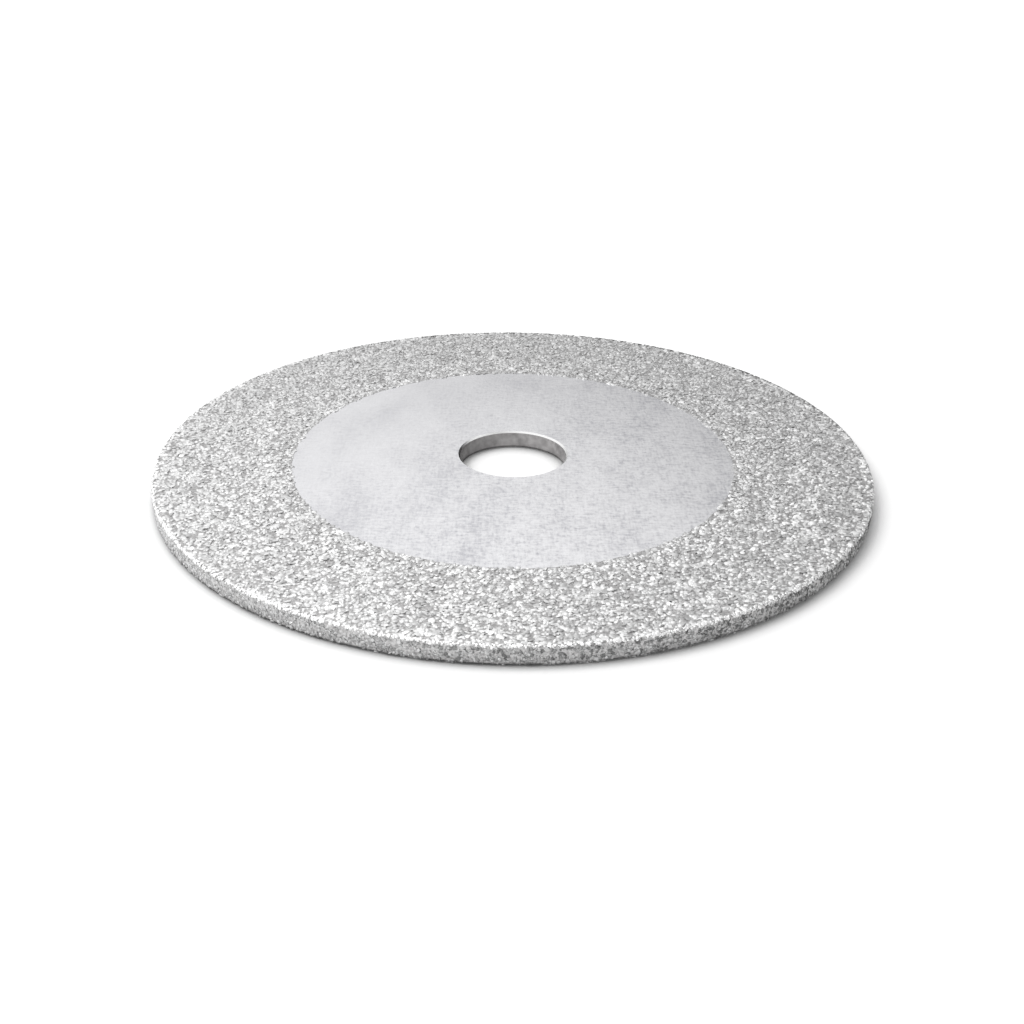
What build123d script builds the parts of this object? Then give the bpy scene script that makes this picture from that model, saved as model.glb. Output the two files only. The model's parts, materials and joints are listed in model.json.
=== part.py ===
from build123d import *
import os

# A diamond cutting disc, lying flat. A steel blank with a bore carries a band of diamond grit in nickel.
# The band wraps round the blank's rim like a channel and sits in a shallow relief on both faces.
# The origin is on the disc's axis, level with the underside of the band, and +Z is the disc's axis.

# The whole disc, in millimetres
disc_diameter = 40.0
rim_corner_radius = 0.15

# The steel blank
blank_thickness = 1.0
bore_diameter = 6.0
bore_chamfer = 0.1
bore_edge_break = 0.04

# The plated band, measured over the points of its grit
band_width = 7.5
band_depth = 0.17
band_step = 0.05
band_edge_chamfer = 0.03

# Radii and levels that follow from the sizes
disc_radius = disc_diameter / 2
bore_radius = bore_diameter / 2
band_inner_radius = disc_radius - band_width
blank_rim_radius = disc_radius - band_depth
band_thickness = blank_thickness + 2 * band_step
blank_rim_thickness = band_thickness - 2 * band_depth
mid_level = band_thickness / 2


# A ring's section is a rectangle between two radii, centred on the disc's mid level
def ring_section(inner_radius, outer_radius, thickness):
    with Locations((inner_radius, mid_level)):
        Rectangle(outer_radius - inner_radius, thickness, align=(Align.MIN, Align.CENTER))


# The two corners of a section that lie nearest the disc's axis, the lower one first
def inner_corners(section):
    return section.vertices().group_by(Axis.X)[0].sort_by(Axis.Y)


# The two corners of a section that lie farthest from the disc's axis
def outer_corners(section):
    return section.vertices().group_by(Axis.X)[-1]


# The blank is punched from sheet and bored. The bore is chamfered on top, and its lower edge is only broken.
# The rim is turned thinner where it is plated.
def make_steel_blank():
    with BuildPart() as blank:
        with BuildSketch(Plane.XZ) as section:
            ring_section(bore_radius, band_inner_radius, blank_thickness)
            chamfer(inner_corners(section)[1], bore_chamfer)
            chamfer(inner_corners(section)[0], bore_edge_break)
        revolve(axis=Axis.Z)
        with BuildSketch(Plane.XZ):
            ring_section(bore_radius + bore_chamfer, blank_rim_radius, blank_rim_thickness)
        revolve(axis=Axis.Z)
    return blank.part


# The band is a ring over the blank's rim, with the blank itself taken out of it to leave the channel
def make_diamond_band(blank):
    with BuildPart() as band:
        with BuildSketch(Plane.XZ) as section:
            ring_section(band_inner_radius, disc_radius, band_thickness)
            fillet(outer_corners(section), rim_corner_radius)
            chamfer(inner_corners(section), band_edge_chamfer)
        revolve(axis=Axis.Z)
        add(blank, mode=Mode.SUBTRACT)
    return band.part


steel_blank = make_steel_blank()
diamond_band = make_diamond_band(steel_blank)

os.makedirs("parts", exist_ok=True)
export_step(steel_blank, "parts/steel_blank.step")
export_step(diamond_band, "parts/diamond_band.step")
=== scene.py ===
import json
import math
import bpy
from mathutils import Matrix, Vector


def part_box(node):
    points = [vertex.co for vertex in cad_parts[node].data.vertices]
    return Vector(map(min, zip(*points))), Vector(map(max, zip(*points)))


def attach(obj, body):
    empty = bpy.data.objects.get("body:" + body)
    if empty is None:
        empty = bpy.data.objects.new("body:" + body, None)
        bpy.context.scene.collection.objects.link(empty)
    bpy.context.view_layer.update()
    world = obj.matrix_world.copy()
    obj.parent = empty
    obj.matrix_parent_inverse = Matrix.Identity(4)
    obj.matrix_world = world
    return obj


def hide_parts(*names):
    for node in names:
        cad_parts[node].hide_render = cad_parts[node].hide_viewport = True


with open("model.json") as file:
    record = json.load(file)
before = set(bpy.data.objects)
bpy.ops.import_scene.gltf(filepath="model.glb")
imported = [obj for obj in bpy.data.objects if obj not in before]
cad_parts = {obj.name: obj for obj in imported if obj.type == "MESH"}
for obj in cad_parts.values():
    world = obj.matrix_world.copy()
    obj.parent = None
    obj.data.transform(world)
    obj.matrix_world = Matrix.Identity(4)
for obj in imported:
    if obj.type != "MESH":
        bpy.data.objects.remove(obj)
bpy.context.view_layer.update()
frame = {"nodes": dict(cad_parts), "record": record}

MM = 0.001


# The steel blank is a disc of sheet steel, thinner at the rim where it is plated, with a bored hole.
# It is turned, so a Geometry Nodes tree spins its section round the axis.
# Its faces are satin with fine crossed scratches, their mottle stronger toward the right front.
# The bore's wall is dark mottled grey, with painted shade at its foot and left, painted light at its right.
# Its chamfered lip shines and is painted white as a painted highlight, but its left end is painted shade.

def tree_with_inputs(name, inputs):
    tree = bpy.data.node_groups.new(name, "GeometryNodeTree")
    tree.interface.new_socket("Geometry", in_out="INPUT", socket_type="NodeSocketGeometry")
    for label, kind in inputs:
        tree.interface.new_socket(label, in_out="INPUT", socket_type=kind)
    tree.interface.new_socket("Geometry", in_out="OUTPUT", socket_type="NodeSocketGeometry")
    return tree


def add_node(tree, kind, settings=None, **links):
    """Adds a node. A keyword names one of its inputs, or i0, i1 and so on give the input's number."""
    node = tree.nodes.new(kind)
    for label, value in (settings or {}).items():
        setattr(node, label, value)
    for label, source in links.items():
        socket = node.inputs[int(label[1:])] if label[1:].isdigit() else node.inputs[label.replace("_", " ")]
        if isinstance(source, bpy.types.NodeSocket):
            tree.links.new(source, socket)
        else:
            socket.default_value = source
    return node


def math_node(tree, operation, first, second=0.0):
    return add_node(tree, "ShaderNodeMath", {"operation": operation}, i0=first, i1=second).outputs[0]


def vector_node(tree, operation, first, second=(0.0, 0.0, 0.0)):
    return add_node(tree, "ShaderNodeVectorMath", {"operation": operation}, i0=first, i1=second).outputs[0]


def scaled_by(tree, vector, factor):
    node = add_node(tree, "ShaderNodeVectorMath", {"operation": "SCALE"}, i0=vector)
    tree.links.new(factor, node.inputs["Scale"])
    return node.outputs[0]


def length_of(tree, vector):
    return add_node(tree, "ShaderNodeVectorMath", {"operation": "LENGTH"}, i0=vector).outputs["Value"]


def towards(tree, vector, direction):
    """How far a point lies along a direction."""
    node = add_node(tree, "ShaderNodeVectorMath", {"operation": "DOT_PRODUCT"}, i0=vector, i1=direction)
    return node.outputs["Value"]


def coordinate(tree, vector, axis):
    return add_node(tree, "ShaderNodeSeparateXYZ", i0=vector).outputs["XYZ".index(axis)]


def flattened(tree, vector):
    return vector_node(tree, "MULTIPLY", vector, (1, 1, 0))


def remap(tree, value, from_low, from_high, to_low, to_high, kind="LINEAR"):
    node = add_node(tree, "ShaderNodeMapRange", {"interpolation_type": kind}, i0=value)
    ends = {"From Min": from_low, "From Max": from_high, "To Min": to_low, "To Max": to_high}
    for label, end in ends.items():
        if isinstance(end, bpy.types.NodeSocket):
            tree.links.new(end, node.inputs[label])
        else:
            node.inputs[label].default_value = end
    return node.outputs[0]


def weighted(tree, parts):
    """The sum of some values, each times its weight."""
    total = math_node(tree, "MULTIPLY", parts[0][0], parts[0][1])
    for part, weight in parts[1:]:
        total = math_node(tree, "ADD", total, math_node(tree, "MULTIPLY", part, weight))
    return total


def masked_edge(tree, place, given):
    """Moves points near the plating's inner edge, which the mask left off centre, oval and ragged."""
    innermost_share = 0.4
    outermost_share = 1.55
    wave_scale = 2600.0
    wave_reach = 0.25 * MM
    flat = flattened(tree, place)
    radius = length_of(tree, flat)
    edge = given["Masked radius"]
    inside = remap(tree, radius, math_node(tree, "MULTIPLY", edge, innermost_share), edge, 0.0, 1.0)
    outside = remap(tree, radius, edge, math_node(tree, "MULTIPLY", edge, outermost_share), 1.0, 0.0)
    share = math_node(tree, "MULTIPLY", inside, outside)
    stretched = vector_node(tree, "MULTIPLY", flat, given["Mask stretch"])
    shifted = vector_node(tree, "ADD", stretched, given["Mask shift"])
    waves = add_node(tree, "ShaderNodeTexNoise", Vector=flat, Scale=wave_scale, Detail=1.0).outputs["Fac"]
    off_edge = math_node(tree, "ABSOLUTE", math_node(tree, "SUBTRACT", radius, edge))
    at_edge = remap(tree, off_edge, 0.0, wave_reach, 1.0, 0.0)
    swing = math_node(tree, "MULTIPLY", math_node(tree, "SUBTRACT", waves, 0.5), given["Mask waver"])
    swing = math_node(tree, "DIVIDE", math_node(tree, "MULTIPLY", swing, at_edge), radius)
    moved = vector_node(tree, "ADD", place, scaled_by(tree, shifted, share))
    return vector_node(tree, "ADD", moved, scaled_by(tree, flat, swing))


def turning_tree():
    """Spins the outline's points round Z. Row numbers wrap, so one row more than points closes it."""
    tree = tree_with_inputs("turned_section", [
        ("Rows", "NodeSocketInt"),
        ("Segments", "NodeSocketInt"),
        ("Masked radius", "NodeSocketFloat"),
        ("Mask shift", "NodeSocketVector"),
        ("Mask stretch", "NodeSocketVector"),
        ("Mask waver", "NodeSocketFloat"),
        ("Material", "NodeSocketMaterial"),
    ])
    given = tree.nodes.new("NodeGroupInput").outputs
    points = add_node(tree, "GeometryNodeAttributeDomainSize", {"component": "MESH"},
                      Geometry=given["Geometry"])
    columns = math_node(tree, "ADD", given["Segments"], 1.0)
    grid = add_node(tree, "GeometryNodeMeshGrid", Vertices_X=columns, Vertices_Y=given["Rows"])
    index = tree.nodes.new("GeometryNodeInputIndex").outputs[0]
    row = math_node(tree, "MODULO", index, given["Rows"])
    column = math_node(tree, "FLOOR", math_node(tree, "DIVIDE", index, given["Rows"]))
    outline_row = math_node(tree, "MODULO", row, points.outputs["Point Count"])
    place = tree.nodes.new("GeometryNodeInputPosition").outputs[0]
    sample = add_node(tree, "GeometryNodeSampleIndex", {"data_type": "FLOAT_VECTOR", "domain": "POINT"},
                      Geometry=given["Geometry"], Index=outline_row)
    tree.links.new(place, sample.inputs["Value"])
    turn = math_node(tree, "DIVIDE", math_node(tree, "MULTIPLY", column, 2 * math.pi), given["Segments"])
    turned = add_node(tree, "ShaderNodeVectorRotate", {"rotation_type": "Z_AXIS"},
                      Vector=sample.outputs[0], Angle=turn)
    moved = add_node(tree, "GeometryNodeSetPosition", Geometry=grid.outputs["Mesh"],
                     Position=masked_edge(tree, turned.outputs[0], given))
    merged = add_node(tree, "GeometryNodeMergeByDistance", Geometry=moved.outputs[0], Distance=1e-7)
    realised = add_node(tree, "GeometryNodeRealizeInstances", Geometry=merged.outputs[0])
    painted = add_node(tree, "GeometryNodeSetMaterial", Geometry=realised.outputs[0],
                       Material=given["Material"])
    out = tree.nodes.new("NodeGroupOutput")
    tree.links.new(painted.outputs[0], out.inputs[0])
    return tree


def made_by(tree, name, mesh, values):
    """Runs a tree on a mesh and keeps the result as a plain object at the origin."""
    seed_object = bpy.data.objects.new(name + "_seed", mesh)
    bpy.context.scene.collection.objects.link(seed_object)
    modifier = seed_object.modifiers.new(name, "NODES")
    modifier.node_group = tree
    for item in tree.interface.items_tree:
        if item.in_out == "INPUT" and item.name in values:
            modifier[item.identifier] = values[item.name]
    depsgraph = bpy.context.evaluated_depsgraph_get()
    result = bpy.data.meshes.new_from_object(seed_object.evaluated_get(depsgraph), depsgraph=depsgraph)
    bpy.data.objects.remove(seed_object)
    result.name = name
    piece = bpy.data.objects.new(name, result)
    bpy.context.scene.collection.objects.link(piece)
    return piece


def outline_mesh(name, outline):
    mesh = bpy.data.meshes.new(name)
    mesh.from_pydata([(radius, 0.0, height) for radius, height in outline], [], [])
    return mesh


blank_low, blank_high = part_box("steel_blank")
band_low, band_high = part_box("diamond_band")
bore_mount = next(mount for mount in frame["record"]["mounts"] if mount["name"] == "bore")
bore_radius = bore_mount["dims"]["r_mm"] * MM
blank_under = blank_low.z
blank_top = blank_high.z
blank_rim_radius = blank_high.x
hair = 0.001 * MM
well_inside = 0.1 * MM
blank_corners = [vertex.co for vertex in frame["nodes"]["steel_blank"].data.vertices]
bore_lip_radius = min(corner.xy.length for corner in blank_corners if corner.z > blank_top - hair)
bore_foot_radius = min(corner.xy.length for corner in blank_corners if corner.z < blank_under + hair)
bore_chamfer = bore_lip_radius - bore_radius
bore_edge_break = bore_foot_radius - bore_radius
band_corners = [vertex.co for vertex in frame["nodes"]["diamond_band"].data.vertices]
band_inner_radius = min(corner.xy.length for corner in band_corners)
channel_corners = [corner.z for corner in band_corners
                   if blank_under + hair < corner.z < blank_top - hair
                   and corner.xy.length < blank_rim_radius - well_inside]
channel_under = min(channel_corners)
channel_top = max(channel_corners)
turned = turning_tree()
mask = {
    "Segments": 480,
    "Masked radius": band_inner_radius,
    "Mask shift": (0.0, -0.45 * MM, 0.0),
    "Mask stretch": (-0.012, 0.014, 0.0),
    "Mask waver": 0.22 * MM,
}
blank_outline = [
    (bore_foot_radius, blank_under),
    (bore_foot_radius + bore_chamfer, blank_under),
    (band_inner_radius, blank_under),
    (band_inner_radius, channel_under),
    (blank_rim_radius, channel_under),
    (blank_rim_radius, channel_top),
    (band_inner_radius, channel_top),
    (band_inner_radius, blank_top),
    (bore_lip_radius + 2 * bore_chamfer, blank_top),
    (bore_lip_radius, blank_top),
    (bore_radius, blank_top - bore_chamfer),
    (bore_radius, blank_under + bore_edge_break),
]


def shader(name):
    material = bpy.data.materials.new(name)
    material.use_nodes = True
    nodes = material.node_tree.nodes
    return material, material.node_tree, nodes["Principled BSDF"]


def noise(tree, where, scale, detail=2.0, turn=0.0):
    """Noise between 0 and 1 with its grain size in the three directions given by the scale."""
    placed = add_node(tree, "ShaderNodeMapping", Vector=where, Scale=scale,
                      Rotation=(0, 0, math.radians(turn)))
    return add_node(tree, "ShaderNodeTexNoise", Vector=placed.outputs[0], Scale=1.0, Detail=detail,
                    Roughness=0.55).outputs["Fac"]


def ramp(tree, value, darkest, lightest, middle=None):
    """Colours a value. Each of the colours comes after its place on the ramp."""
    node = add_node(tree, "ShaderNodeValToRGB", Fac=value)
    ends = node.color_ramp.elements
    ends[0].position = darkest[0]
    ends[0].color = (*darkest[1], 1)
    ends[1].position = lightest[0]
    ends[1].color = (*lightest[1], 1)
    if middle:
        ends.new(middle[0]).color = (*middle[1], 1)
    return node.outputs[0]


def mixed_colour(tree, share, first, second):
    return add_node(tree, "ShaderNodeMix", {"data_type": "RGBA"}, i0=share, i6=first, i7=second).outputs[2]


def blank_steel():
    material, tree, surface = shader("blank_steel")
    surface.inputs["Metallic"].default_value = 1.0
    where = tree.nodes.new("ShaderNodeTexCoord").outputs["Object"]
    along = noise(tree, where, (1800.0, 5000.0, 1800.0), turn=2)
    across = noise(tree, where, (7500.0, 1100.0, 1100.0), turn=-3)
    specks = noise(tree, where, (6200.0, 4600.0, 6200.0), detail=1.0, turn=25)
    blotches = noise(tree, where, (1500.0, 700.0, 1500.0), detail=1.0)
    clouds = noise(tree, where, (330.0, 200.0, 330.0), detail=1.0)
    mottle = weighted(tree, [(along, 0.32), (across, 0.26), (specks, 0.28), (blotches, 0.14)])
    # The mottle grows stronger toward the right front.
    stronger_mottle_side = towards(tree, where, (0.85, -0.5, 0.0))
    mottle_strength = remap(tree, stronger_mottle_side, -8.5 * MM, 5.0 * MM, 0.30, 1.15)
    mottle_off = math_node(tree, "MULTIPLY", math_node(tree, "SUBTRACT", mottle, 0.5), mottle_strength)
    tone = weighted(tree, [(mottle_off, 1.0), (math_node(tree, "SUBTRACT", clouds, 0.5), 0.24)])
    tone = math_node(tree, "ADD", tone, 0.5)
    bare_steel = ramp(tree, tone, (0.30, (0.56, 0.56, 0.60)), (0.62, (0.98, 0.98, 1.0)),
                      middle=(0.50, (0.87, 0.87, 0.892)))

    radius = length_of(tree, flattened(tree, where))
    on_chamfer = math_node(tree, "LESS_THAN", radius, bore_lip_radius)
    in_wall = math_node(tree, "LESS_THAN", radius, bore_radius + 0.01 * MM)
    # Painted shade: the chamfer's left end takes the bore wall's dark colour.
    chamfer_side = towards(tree, where, (0.94, 0.34, 0.0))
    chamfer_painted_shade = remap(tree, chamfer_side, -2.6 * MM, -1.7 * MM, 1.0, 0.0)
    in_bore = math_node(tree, "MAXIMUM", in_wall, math_node(tree, "MULTIPLY", on_chamfer, chamfer_painted_shade))
    bore_spots = noise(tree, where, (2200.0, 2200.0, 2200.0), detail=3.0)
    bore_mottle_grey = ramp(tree, bore_spots, (0.35, (0.27, 0.262, 0.262)), (0.65, (0.42, 0.41, 0.41)))
    # Painted shade: the bore wall darkens toward its foot.
    painted_foot_shade = remap(tree, coordinate(tree, where, "Z"),
                       blank_under + 0.05 * MM, blank_under + 0.15 * MM, 0.3, 1.0)
    # Painted light and shade: the bore wall is lighter to the right and darker to the left.
    painted_light_by_side = remap(tree, coordinate(tree, where, "X"), -3.0 * MM, 3.0 * MM, 0.60, 1.25)
    bore_wall = scaled_by(tree, bore_mottle_grey, math_node(tree, "MULTIPLY", painted_foot_shade, painted_light_by_side))
    painted = mixed_colour(tree, in_bore, bare_steel, bore_wall)
    # Painted highlight: the chamfer, apart from its shaded left end, is painted white.
    painted_lip_highlight = math_node(tree, "MULTIPLY", on_chamfer, math_node(tree, "SUBTRACT", 1.0, in_bore))
    with_painted_lip_highlight = mixed_colour(tree, painted_lip_highlight, painted, (1.0, 1.0, 1.0, 1.0))
    tree.links.new(with_painted_lip_highlight, surface.inputs["Base Color"])
    roughness_and_painted_shade = math_node(tree, "ADD", 0.25, math_node(tree, "MULTIPLY", on_chamfer, 0.15))
    tree.links.new(roughness_and_painted_shade, surface.inputs["Roughness"])
    relief = add_node(tree, "ShaderNodeBump", Height=mottle_off, Distance=0.02 * MM, Strength=0.2)
    tree.links.new(relief.outputs[0], surface.inputs["Normal"])
    return material


blank = made_by(turned, "blank_disc", outline_mesh("blank_outline", blank_outline),
                {**mask, "Rows": len(blank_outline) + 1, "Material": blank_steel()})
blank.data.shade_smooth()
blank.data.set_sharp_from_angle(angle=math.radians(25))
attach(blank, "root")
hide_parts("steel_blank")


# The nickel bond is plated over the rim and both faces of the blank and holds the grit.
# It is dull and finely pitted, with painted shade at its foot, and lies a little below the points of the
# grains.

def rounded(centre, radius, start, end, steps):
    """Points on an arc of the section, from one angle to another, in degrees."""
    points = []
    for step in range(steps + 1):
        angle = math.radians(start + (end - start) * step / steps)
        points.append((centre[0] + radius * math.cos(angle), centre[1] + radius * math.sin(angle)))
    return points


grain_standout = 0.06 * MM
rim_corner_radius = 0.15 * MM
bond_corner_radius = rim_corner_radius - grain_standout
bond_radius = band_high.x - grain_standout
bond_top = band_high.z - grain_standout
bond_under = band_low.z + grain_standout
corner_starts = bond_radius - bond_corner_radius
corner_steps = 5
face_starts = band_inner_radius + 0.3 * MM
face_steps = 24
top_outline = [(band_inner_radius, blank_top - 0.003 * MM)]
top_outline += [(face_starts + (corner_starts - face_starts) * step / face_steps, bond_top)
                for step in range(face_steps + 1)]
top_corner = rounded((corner_starts, bond_top - bond_corner_radius), bond_corner_radius, 90, 0, corner_steps)
under_corner = rounded((corner_starts, bond_under + bond_corner_radius), bond_corner_radius,
                       0, -90, corner_steps)
under_outline = [(radius, band_low.z + band_high.z - height) for radius, height in reversed(top_outline)]
channel_outline = [
    (band_inner_radius, channel_under),
    (blank_rim_radius, channel_under),
    (blank_rim_radius, channel_top),
    (band_inner_radius, channel_top),
]
bond_outline = channel_outline + top_outline[:-1] + top_corner + under_corner + under_outline[1:]
bond_outline = list(reversed(bond_outline))


def bond_nickel():
    material, tree, surface = shader("bond_nickel")
    surface.inputs["Metallic"].default_value = 1.0
    where = tree.nodes.new("ShaderNodeTexCoord").outputs["Object"]
    pits = noise(tree, where, (9000.0, 9000.0, 9000.0), detail=3.0)
    nickel = ramp(tree, pits, (0.35, (0.38, 0.375, 0.375)), (0.65, (0.66, 0.655, 0.655)))
    # Painted shade: the bond darkens toward its foot.
    painted_foot_shade = remap(tree, coordinate(tree, where, "Z"),
                       bond_under + 0.02 * MM, bond_under + 0.10 * MM, 0.45, 1.0)
    tree.links.new(scaled_by(tree, nickel, painted_foot_shade), surface.inputs["Base Color"])
    surface.inputs["Roughness"].default_value = 0.42
    relief = add_node(tree, "ShaderNodeBump", Height=pits, Distance=0.04 * MM, Strength=0.8)
    tree.links.new(relief.outputs[0], surface.inputs["Normal"])
    return material


bond = made_by(turned, "nickel_bond", outline_mesh("bond_outline", bond_outline),
               {**mask, "Rows": len(bond_outline) + 1, "Material": bond_nickel()})
bond.data.shade_smooth()
bond.data.set_sharp_from_angle(angle=math.radians(40))
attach(bond, "root")
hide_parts("diamond_band")


# The diamond grit is thousands of blocky crystals set in the nickel with their corners standing out.
# A tree scatters them over the bond, turned and sized at random, and trims them to the disc's true size.
# Each grain's tone varies at random and carries painted light and shade: darker to the right and back,
# lighter on the rim's left, spread wider toward the right front, and a painted highlight near the rim
# corner.

ball_sides = (5, 6, 4, None, 5)
ball_rings = 3
ball_radius = 0.6
cube_side = 0.95
dent = 0.16


def grain_shapes(tree):
    """Irregular convex crystals as instances to pick from: dented balls, and a cube for no sides."""
    shapes = tree.nodes.new("GeometryNodeGeometryToInstance")
    for number, sides in enumerate(ball_sides):
        if sides:
            start = add_node(tree, "GeometryNodeMeshUVSphere", Segments=sides, Rings=ball_rings,
                             Radius=ball_radius)
        else:
            start = add_node(tree, "GeometryNodeMeshCube", Size=(cube_side, cube_side, cube_side))
        push = add_node(tree, "FunctionNodeRandomValue", {"data_type": "FLOAT_VECTOR"}, Seed=17 + number)
        push.inputs["Min"].default_value = (-dent, -dent, -dent)
        push.inputs["Max"].default_value = (dent, dent, dent)
        dented = add_node(tree, "GeometryNodeSetPosition", Geometry=start.outputs["Mesh"],
                          Offset=push.outputs["Value"])
        hull = add_node(tree, "GeometryNodeConvexHull", Geometry=dented.outputs[0])
        tree.links.new(hull.outputs[0], shapes.inputs[0])
    return shapes.outputs[0]


def trimmed_to(tree, geometry, given):
    """Brings every point that stands out too far back to the disc's outline, rounded corners included."""
    place = tree.nodes.new("GeometryNodeInputPosition").outputs[0]
    corner = given["Corner radius"]
    height = coordinate(tree, place, "Z")
    flat = flattened(tree, place)
    radius = length_of(tree, flat)
    widest_core = math_node(tree, "SUBTRACT", given["Disc radius"], corner)
    highest_core = math_node(tree, "SUBTRACT", given["Highest"], corner)
    lowest_core = math_node(tree, "ADD", given["Lowest"], corner)
    core_radius = math_node(tree, "MINIMUM", radius, widest_core)
    core_height = math_node(tree, "MINIMUM", height, highest_core)
    core_height = math_node(tree, "MAXIMUM", core_height, lowest_core)
    outward = add_node(tree, "ShaderNodeCombineXYZ", i0=math_node(tree, "SUBTRACT", radius, core_radius),
                       i1=math_node(tree, "SUBTRACT", height, core_height)).outputs[0]
    reach = math_node(tree, "MAXIMUM", length_of(tree, outward), 1e-9)
    kept = math_node(tree, "MINIMUM", math_node(tree, "DIVIDE", corner, reach), 1.0)
    shortened = scaled_by(tree, outward, kept)
    new_radius = math_node(tree, "ADD", core_radius, coordinate(tree, shortened, "X"))
    new_height = math_node(tree, "ADD", core_height, coordinate(tree, shortened, "Y"))
    inward = scaled_by(tree, flat, math_node(tree, "DIVIDE", new_radius, radius))
    lifted = add_node(tree, "ShaderNodeCombineXYZ", i2=new_height).outputs[0]
    return add_node(tree, "GeometryNodeSetPosition", Geometry=geometry,
                    Position=vector_node(tree, "ADD", inward, lifted)).outputs[0]


disc_reach = 20.0 * MM
middle_level = 0.55 * MM
face_from_middle = 0.42 * MM
highlight_ring_starts = 19.45 * MM
highlight_ring_ends = 19.85 * MM
highlight_ring_brightness = 0.35
lit_left_ends = -13.0 * MM
lit_left_brightness = 0.30
painted_shade_depth = 0.5
plain_tone = 0.66


def grain_tone(tree, given):
    """Each grain's tone, from chance and from its place, which brings painted light and shade."""
    shade = add_node(tree, "FunctionNodeRandomValue", {"data_type": "FLOAT"}, Seed=13)
    place = tree.nodes.new("GeometryNodeInputPosition").outputs[0]
    patches = add_node(tree, "ShaderNodeTexNoise", Vector=place, Scale=1500.0, Detail=1.0)
    # Painted shade: grains grow darker toward the right and back.
    shaded_side = towards(tree, place, (0.58, 0.82, 0.0))
    roughness_and_painted_shade = remap(tree, shaded_side, -disc_reach, disc_reach, 0.0, 1.0)
    # Painted light and shade: the spread of tones grows toward the right front.
    contrast_side = towards(tree, place, (0.87, -0.5, 0.0))
    painted_contrast = remap(tree, contrast_side, -disc_reach, disc_reach, 0.5, 1.3)
    patch = math_node(tree, "SUBTRACT", patches.outputs["Fac"], 0.5)
    own_shade = math_node(tree, "SUBTRACT", shade.outputs[1], 0.5)
    spread = weighted(tree, [(patch, given["Patchiness"]), (own_shade, given["Unevenness"])])
    off_middle = math_node(tree, "SUBTRACT", coordinate(tree, place, "Z"), middle_level)
    on_face = math_node(tree, "GREATER_THAN", math_node(tree, "ABSOLUTE", off_middle), face_from_middle)
    on_edge = math_node(tree, "SUBTRACT", 1.0, on_face)
    radius = length_of(tree, flattened(tree, place))
    # Painted highlight: face grains lighten in a ring just inside the rim corner.
    painted_highlight_ring = remap(tree, radius, highlight_ring_starts, highlight_ring_ends, 0.0, highlight_ring_brightness)
    # Painted light: rim and corner grains lighten toward the left.
    lit_left = remap(tree, coordinate(tree, place, "X"), lit_left_ends, 0.0, lit_left_brightness, 0.0)
    tone = weighted(tree, [(spread, painted_contrast), (roughness_and_painted_shade, -painted_shade_depth), (painted_highlight_ring, on_face), (lit_left, on_edge)])
    return math_node(tree, "ADD", tone, plain_tone)


crowding = 1.1
closest_share = 0.6
lean = 0.28
smallest_grain = (0.5, 0.5, 0.30)
largest_grain = (1.3, 1.3, 0.58)


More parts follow.
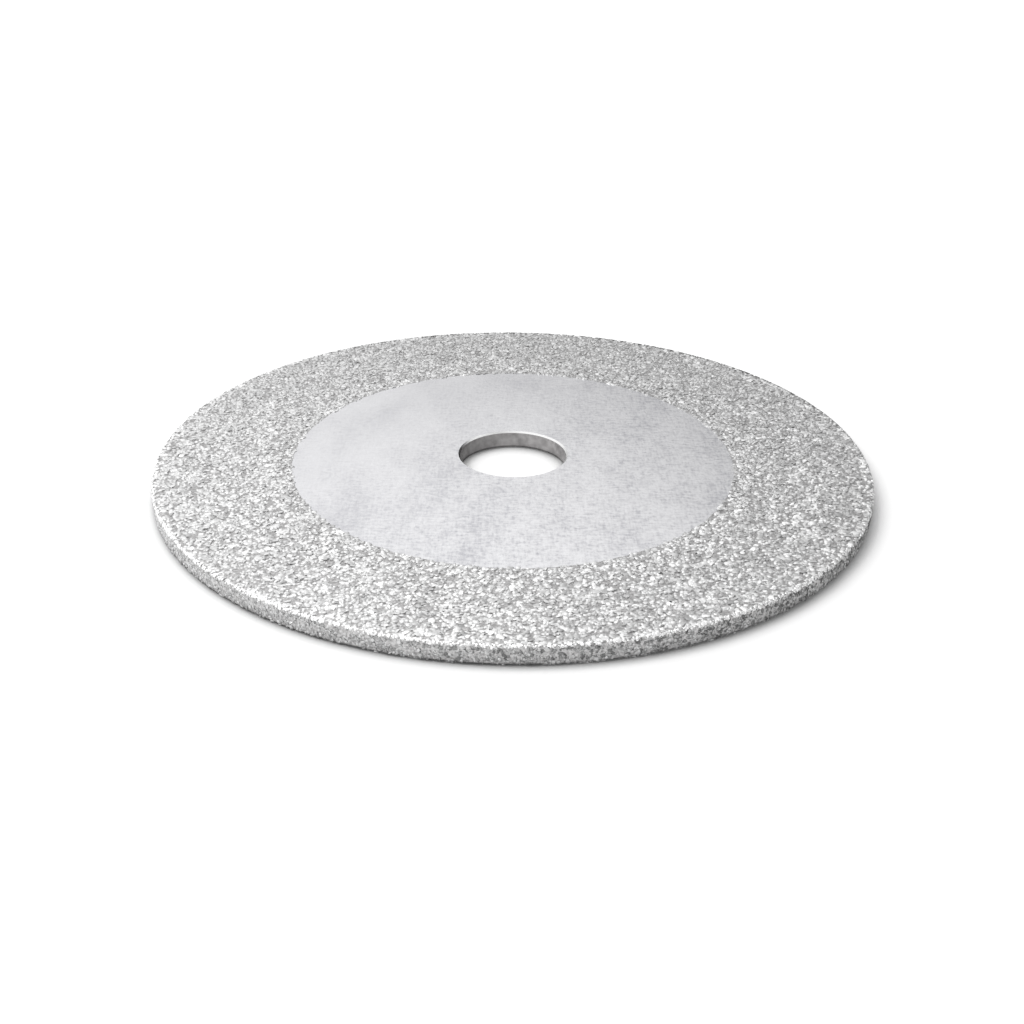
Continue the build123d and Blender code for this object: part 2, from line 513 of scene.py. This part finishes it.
def scatter_tree():
    tree = tree_with_inputs("scattered_grit", [
        ("Spacing", "NodeSocketFloat"),
        ("Grain size", "NodeSocketFloat"),
        ("Deepest", "NodeSocketFloat"),
        ("Proudest", "NodeSocketFloat"),
        ("Disc radius", "NodeSocketFloat"),
        ("Lowest", "NodeSocketFloat"),
        ("Highest", "NodeSocketFloat"),
        ("Corner radius", "NodeSocketFloat"),
        ("Patchiness", "NodeSocketFloat"),
        ("Unevenness", "NodeSocketFloat"),
        ("Seed", "NodeSocketInt"),
        ("Material", "NodeSocketMaterial"),
    ])
    given = tree.nodes.new("NodeGroupInput").outputs
    area = math_node(tree, "MULTIPLY", given["Spacing"], given["Spacing"])
    density = math_node(tree, "DIVIDE", crowding, area)
    closest = math_node(tree, "MULTIPLY", given["Spacing"], closest_share)
    spots = add_node(tree, "GeometryNodeDistributePointsOnFaces", {"distribute_method": "POISSON"},
                     Mesh=given["Geometry"], Distance_Min=closest, Density_Max=density, Seed=given["Seed"])
    pick = add_node(tree, "FunctionNodeRandomValue", {"data_type": "INT"}, Seed=3)
    pick.inputs[4].default_value = 0
    pick.inputs[5].default_value = len(ball_sides) - 1
    tilt = add_node(tree, "FunctionNodeRandomValue", {"data_type": "FLOAT_VECTOR"}, Seed=5)
    tilt.inputs["Min"].default_value = (-lean, -lean, 0)
    tilt.inputs["Max"].default_value = (lean, lean, 2 * math.pi)
    turn = add_node(tree, "FunctionNodeRotateRotation", {"rotation_space": "LOCAL"},
                    Rotation=spots.outputs["Rotation"], Rotate_By=tilt.outputs["Value"])
    size = add_node(tree, "FunctionNodeRandomValue", {"data_type": "FLOAT_VECTOR"}, Seed=7)
    size.inputs["Min"].default_value = smallest_grain
    size.inputs["Max"].default_value = largest_grain
    depth = add_node(tree, "FunctionNodeRandomValue", {"data_type": "FLOAT"}, Seed=9)
    tree.links.new(given["Deepest"], depth.inputs[2])
    tree.links.new(given["Proudest"], depth.inputs[3])
    seated = add_node(tree, "GeometryNodeSetPosition", Geometry=spots.outputs["Points"],
                      Offset=scaled_by(tree, spots.outputs["Normal"], depth.outputs[1]))
    grains = add_node(tree, "GeometryNodeInstanceOnPoints", Points=seated.outputs[0],
                      Instance=grain_shapes(tree), Pick_Instance=True, Rotation=turn.outputs["Rotation"],
                      Scale=scaled_by(tree, size.outputs["Value"], given["Grain size"]))
    tree.links.new(pick.outputs[2], grains.inputs["Instance Index"])
    marked = add_node(tree, "GeometryNodeStoreNamedAttribute", {"data_type": "FLOAT", "domain": "INSTANCE"},
                      Geometry=grains.outputs[0], Name="grain_tone")
    tree.links.new(grain_tone(tree, given), marked.inputs["Value"])
    realised = add_node(tree, "GeometryNodeRealizeInstances", Geometry=marked.outputs[0])
    cut = add_node(tree, "GeometryNodeTriangulate", Mesh=trimmed_to(tree, realised.outputs[0], given))
    painted = add_node(tree, "GeometryNodeSetMaterial", Geometry=cut.outputs[0], Material=given["Material"])
    out = tree.nodes.new("NodeGroupOutput")
    tree.links.new(painted.outputs[0], out.inputs[0])
    return tree


def grit_diamond(name, darkest, lightest, metallic, roughness,
                 dark_end_tone=0.0, bright_tone=1.0, foot_shade=1.0):
    """Grey diamond between two greys, by each grain's tone, with painted shade toward the foot."""
    foot_starts = 0.06 * MM
    foot_ends = 0.24 * MM
    material, tree, surface = shader(name)
    surface.inputs["Metallic"].default_value = metallic
    tone = add_node(tree, "ShaderNodeAttribute", {"attribute_name": "grain_tone"})
    diamond = ramp(tree, tone.outputs["Fac"], (dark_end_tone, (darkest, darkest, darkest)),
                   (bright_tone, (lightest, lightest, lightest)))
    where = tree.nodes.new("ShaderNodeTexCoord").outputs["Object"]
    shaded = remap(tree, coordinate(tree, where, "Z"), foot_starts, foot_ends, foot_shade, 1.0)
    tree.links.new(scaled_by(tree, diamond, shaded), surface.inputs["Base Color"])
    surface.inputs["Roughness"].default_value = roughness
    return material


def grit_kind(finish, spacing, deepest, proudest, patchiness, unevenness):
    """The scattering tree's inputs for one kind of grit. Its lengths come in millimetres."""
    size_to_spacing = 1.45
    return {
        "Material": finish,
        "Spacing": spacing * MM,
        "Grain size": spacing * size_to_spacing * MM,
        "Deepest": deepest * MM,
        "Proudest": proudest * MM,
        "Patchiness": patchiness,
        "Unevenness": unevenness,
        "Disc radius": band_high.x,
        "Lowest": band_low.z,
        "Highest": band_high.z,
        "Corner radius": rim_corner_radius,
    }


face_diamond = grit_diamond("grit_face", 0.505, 0.895, 0.35, 0.55)
# Corner grains run to white from a low tone on, a painted highlight over their real reflection.
# Their dark end, reached toward the right back, is painted shade.
corner_diamond = grit_diamond("grit_corner", 0.3, 1.0, 0.8, 0.42, dark_end_tone=0.45, bright_tone=0.8)
# Rim grains are coloured darker than the face's grains as painted shade on the wall, and darker still at the
# foot.
rim_diamond = grit_diamond("grit_rim", 0.20, 0.80, 0.4, 0.38, foot_shade=0.7)
face_grit = grit_kind(face_diamond, 0.17, -0.045, 0.02, 1.3, 1.1)
corner_grit = grit_kind(corner_diamond, 0.10, -0.012, 0.022, 0.2, 0.3)
rim_grit = grit_kind(rim_diamond, 0.115, -0.04, 0.02, 0.3, 1.0)
scattered = scatter_tree()
half_way = math.sqrt((band_inner_radius ** 2 + corner_starts ** 2) / 2)
corner_seat_depth = 0.035 * MM
corner_seat = rounded((band_high.x - rim_corner_radius, band_high.z - rim_corner_radius),
                      rim_corner_radius - corner_seat_depth, 90, 15, corner_steps)
rim_top = (bond_radius, band_high.z - rim_corner_radius)
rim_foot = (bond_radius, band_low.z + rim_corner_radius)
grit_seats = {
    "grit_top_inner": ([(band_inner_radius, bond_top), (half_way, bond_top)], face_grit),
    "grit_top_outer": ([(half_way, bond_top), top_corner[0]], face_grit),
    "grit_corner": (corner_seat, corner_grit),
    "grit_rim": ([rim_top, rim_foot], rim_grit),
    "grit_under_outer": ([(corner_starts, bond_under), (half_way, bond_under)], face_grit),
    "grit_under_inner": ([(half_way, bond_under), (band_inner_radius, bond_under)], face_grit),
}
for number, (name, (outline, kind)) in enumerate(grit_seats.items()):
    seat = made_by(turned, name + "_seat", outline_mesh(name, list(reversed(outline))),
                   {**mask, "Rows": len(outline), "Material": kind["Material"]})
    grit = made_by(scattered, name, seat.data, {**kind, "Seed": 21 + number})
    bpy.data.objects.remove(seat)
    grit.data.shade_smooth()
    grit.data.set_sharp_from_angle(angle=math.radians(80))
    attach(grit, "root")


# The disc lies on a plain white floor.
# The floor keeps the disc's soft cast shadow, deepened round the disc by painted shadow in its colour.
# Its white comes back farther out, where it glows, and a little glow toward the right back is painted light.
# Seen from below, the floor is clear, so that the disc's underside shows.

floor_size = 2.0
floor_mesh = bpy.data.meshes.new("floor")
floor_mesh.from_pydata([(-floor_size, -floor_size, 0), (floor_size, -floor_size, 0),
                        (floor_size, floor_size, 0), (-floor_size, floor_size, 0)], [], [(0, 1, 2, 3)])
floor = bpy.data.objects.new("floor", floor_mesh)
bpy.context.scene.collection.objects.link(floor)


def openness(tree, distance):
    """How little stands close above the floor, from 0 to 1."""
    return add_node(tree, "ShaderNodeAmbientOcclusion", {"samples": 4}, Distance=distance).outputs["AO"]


def floor_white():
    material, tree, surface = shader("floor_white")
    surface.inputs["Roughness"].default_value = 1.0
    surface.inputs["Specular IOR Level"].default_value = 0.0
    surface.inputs["Emission Color"].default_value = (1, 1, 1, 1)
    rays = tree.nodes.new("ShaderNodeLightPath").outputs
    reflected = math_node(tree, "MAXIMUM", rays["Is Glossy Ray"], rays["Is Transmission Ray"])
    shown = math_node(tree, "MAXIMUM", rays["Is Camera Ray"], reflected)
    where = tree.nodes.new("ShaderNodeTexCoord").outputs["Object"]
    far = remap(tree, length_of(tree, where), 21.0 * MM, 34.0 * MM, 0.0, 1.0, "SMOOTHSTEP")
    # Painted light: the floor glows a little more toward the right back, lifting the shadow there.
    fill = remap(tree, towards(tree, where, (0.85, 0.52, 0.0)), -20.0 * MM, 20.0 * MM, 0.0, 0.17)
    whitened = math_node(tree, "MULTIPLY", shown, math_node(tree, "ADD", far, fill))
    tree.links.new(whitened, surface.inputs["Emission Strength"])

    # Painted shadow: the floor's colour darkens where the disc stands close above it, deeper toward the
    # right.
    rightward = coordinate(tree, where, "X")
    under_disc = remap(tree, openness(tree, 2.5 * MM), 0.5, 0.86, 1.0, 0.0)
    under_disc = math_node(tree, "MULTIPLY", under_disc, under_disc)
    deeper = remap(tree, rightward, -18.0 * MM, 0.0, 0.6, 1.0)
    shade = remap(tree, math_node(tree, "MULTIPLY", under_disc, deeper), 0.0, 1.0, 0.94, 0.5)
    darkest = remap(tree, rightward, -18.0 * MM, 0.0, 0.85, 0.55)
    contact = remap(tree, openness(tree, 0.5 * MM), 0.55, 0.8, darkest, 1.0)
    bounced = remap(tree, shown, 0.0, 1.0, 0.3, 1.0)
    painted = math_node(tree, "MULTIPLY", bounced, math_node(tree, "MULTIPLY", shade, contact))
    tree.links.new(painted, surface.inputs["Base Color"])

    behind = tree.nodes.new("ShaderNodeNewGeometry").outputs["Backfacing"]
    passed_through = math_node(tree, "GREATER_THAN", rays["Transparent Depth"], 0.5)
    from_below = math_node(tree, "MAXIMUM", behind, passed_through)
    clear = tree.nodes.new("ShaderNodeBsdfTransparent")
    either = add_node(tree, "ShaderNodeMixShader", i0=from_below, i1=surface.outputs[0], i2=clear.outputs[0])
    tree.links.new(either.outputs[0], tree.nodes["Material Output"].inputs["Surface"])
    return material


floor_mesh.materials.append(floor_white())


# The light is a studio sky with pale cards round it and a softbox close by at the left front.
# The sky is white to the camera and nowhere brighter than white.
# The softbox is kept off the bare steel, which would mirror it, and two cards show in reflections only.

world = bpy.data.worlds.new("studio")
bpy.context.scene.world = world
world.use_nodes = True
sky = world.node_tree
studio = sky.nodes["Background"]
studio.inputs["Color"].default_value = (1, 1, 1, 1)
sky_rays = sky.nodes.new("ShaderNodeLightPath").outputs
direction = sky.nodes.new("ShaderNodeTexCoord").outputs["Generated"]
mirrored = add_node(sky, "ShaderNodeCombineXYZ", i0=coordinate(sky, direction, "X"),
                    i1=coordinate(sky, direction, "Y"),
                    i2=math_node(sky, "ABSOLUTE", coordinate(sky, direction, "Z"))).outputs[0]


def card(middle, edge, full, strength, dimmest=0.0):
    """A soft round card in the sky round a direction, and the same below the horizon."""
    nearness = towards(sky, mirrored, tuple(Vector(middle).normalized()))
    return remap(sky, nearness, edge, full, dimmest, strength)


overhead = card((-0.55, 0.0, 0.83), -0.12, 0.90, 0.64, dimmest=0.12)
back_card = card((-0.22, 0.535, 0.815), 0.73, 0.91, 0.86)
left_card = card((-0.92, -0.35, 0.15), 0.30, 0.80, 0.78)
right_card = card((0.70, 0.15, 0.70), 0.91, 0.98, 0.9)
front_card = card((0.85, -0.5, 0.2), 0.55, 0.9, 0.3)
lip_card = card((-0.45, -0.2, 0.85), 0.74, 0.90, 0.6)
reflected_cards = math_node(sky, "ADD", front_card, lip_card)
brightness = weighted(sky, [(overhead, 1.0), (back_card, 1.0), (left_card, 1.0), (right_card, 1.0),
                            (reflected_cards, sky_rays["Is Glossy Ray"])])
brightness = math_node(sky, "MINIMUM", brightness, 1.0)
brightness = math_node(sky, "MAXIMUM", brightness, sky_rays["Is Camera Ray"])
sky.links.new(brightness, studio.inputs["Strength"])

lamp_place = Vector((-24.0, -14.0, 58.0)) * MM
lamp_data = bpy.data.lights.new("softbox", "AREA")
lamp_data.shape = "SQUARE"
lamp_data.size = 42.0 * MM
lamp_data.energy = 0.0216
lamp = bpy.data.objects.new("softbox", lamp_data)
lamp_turn = lamp_place.to_track_quat("Z", "Y").to_matrix().to_4x4()
lamp.matrix_world = Matrix.Translation(lamp_place) @ lamp_turn
lamp.visible_camera = False
off_steel = bpy.data.collections.new("lamp_off_steel")
off_steel.objects.link(blank)
off_steel.collection_objects[0].light_linking.link_state = "EXCLUDE"
lamp.light_linking.receiver_collection = off_steel
bpy.context.scene.collection.objects.link(lamp)


# The camera looks down on the disc from the front.
# Its place, turn and lens are fitted to the disc's outline, the band's inner edge and the bore.

camera_distance = 77.12 * MM
camera_elevation = math.radians(25.676)
camera_dip = math.radians(1.790)
camera_roll = math.radians(0.685)
camera_data = bpy.data.cameras.new("camera")
camera_data.lens = 47.42
camera_data.sensor_width = 36.0
camera_data.clip_start = 0.005
camera_data.clip_end = 10.0
camera = bpy.data.objects.new("camera", camera_data)
camera_place = Vector((0.0, -math.cos(camera_elevation), math.sin(camera_elevation))) * camera_distance
camera_place.x = -0.02 * MM
camera_tilt = Matrix.Rotation(math.pi / 2 - camera_elevation - camera_dip, 4, "X")
camera_turn = Matrix.Rotation(camera_roll, 4, "Z")
camera.matrix_world = Matrix.Translation(camera_place) @ camera_tilt @ camera_turn
bpy.context.scene.collection.objects.link(camera)
bpy.context.scene.camera = camera
bpy.context.scene.view_settings.view_transform = "Standard"

bpy.context.view_layer.update()
